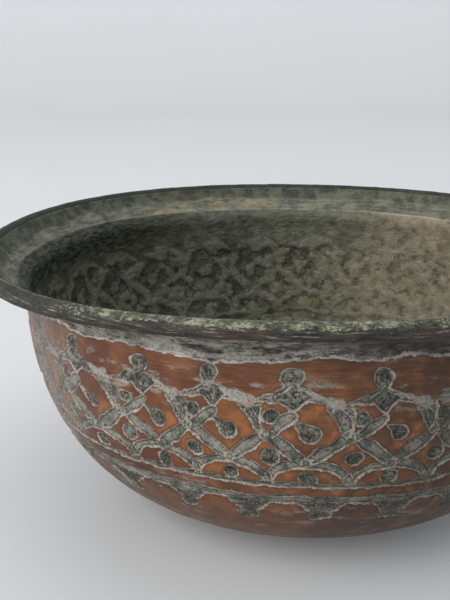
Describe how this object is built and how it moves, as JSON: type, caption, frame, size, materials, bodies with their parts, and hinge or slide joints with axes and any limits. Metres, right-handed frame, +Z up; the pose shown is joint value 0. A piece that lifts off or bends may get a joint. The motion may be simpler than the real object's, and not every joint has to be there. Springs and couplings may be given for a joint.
{
  "type": "hammered copper bowl",
  "caption": "Round hand-raised copper bowl with a curved wall, flared neck and wired rolled rim, chased lattice band outside and tinned inside.",
  "frame": {"origin": "centre of the flat base, on the surface that the bowl stands on", "axes": "+Z up along the bowl's axis; the bowl is round, so X and Y are any two level directions"},
  "size_m": [0.26, 0.26, 0.107],
  "materials": {
    "copper": "hammered and chased, aged, with dark patina and grey tin left in the chasing",
    "iron_wire": "black drawn wire",
    "tin": "wiped tin, dull grey-green with age"
  },
  "bodies": {
    "root": {"bowl_shell": "copper", "rim_wire": "iron_wire", "tin_lining": "tin"}
  },
  "joints": []
}
